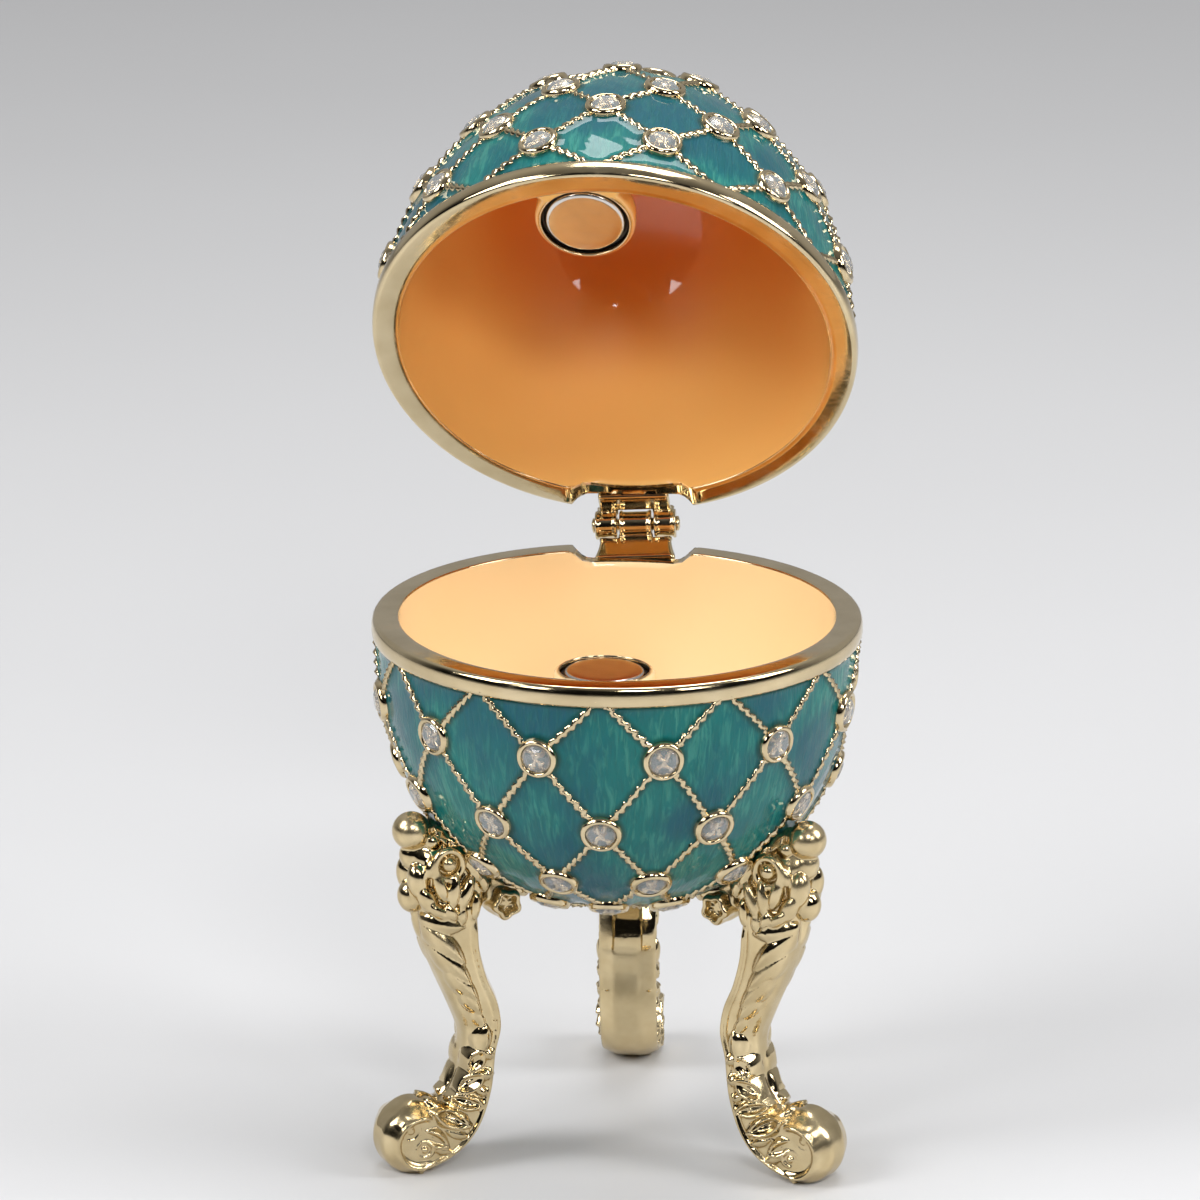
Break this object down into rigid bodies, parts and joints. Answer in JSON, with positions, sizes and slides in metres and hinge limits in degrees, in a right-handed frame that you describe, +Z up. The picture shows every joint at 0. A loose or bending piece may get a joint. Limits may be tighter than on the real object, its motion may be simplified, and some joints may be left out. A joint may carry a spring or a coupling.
{
  "type": "jewelled egg trinket box",
  "caption": "Egg-shaped trinket box on scroll legs, with a hinged lid, magnet closure and a rope trellis set with clear crystals over teal enamel.",
  "frame": {"origin": "on the ground, on the box's mirror plane, midway between its front and its back with the lid open", "axes": "+Z is up along the egg's axis, -Y is the front where the lid opens, +Y is the back with the hinge"},
  "size_m": [0.0441, 0.0592, 0.0926],
  "materials": {
    "teal_enamel": "glossy translucent teal enamel over an engraved ground",
    "peach_enamel": "glossy opaque peach enamel lining",
    "gold_plate": "polished pale gold plate over a cast alloy",
    "crystal": "clear faceted crystal",
    "magnet_nickel": "nickel plated magnet disc"
  },
  "bodies": {
    "base": {"bowl": "teal_enamel", "leg_left": "gold_plate", "leg_right": "gold_plate", "leg_back": "gold_plate", "bowl_hinge_leaf": "gold_plate", "hinge_pin": "gold_plate", "bowl_magnet": "magnet_nickel"},
    "lid": {"lid": "teal_enamel", "lid_hinge_leaf": "gold_plate", "lid_magnet": "magnet_nickel"}
  },
  "joints": [
    {"name": "lid_hinge", "type": "hinge", "parent": "base", "child": "lid", "pos_m": [0, 0.01559, 0.04927], "axis": [-0.9986, 0, -0.0523], "range_deg": [-59.5, 0]}
  ]
}
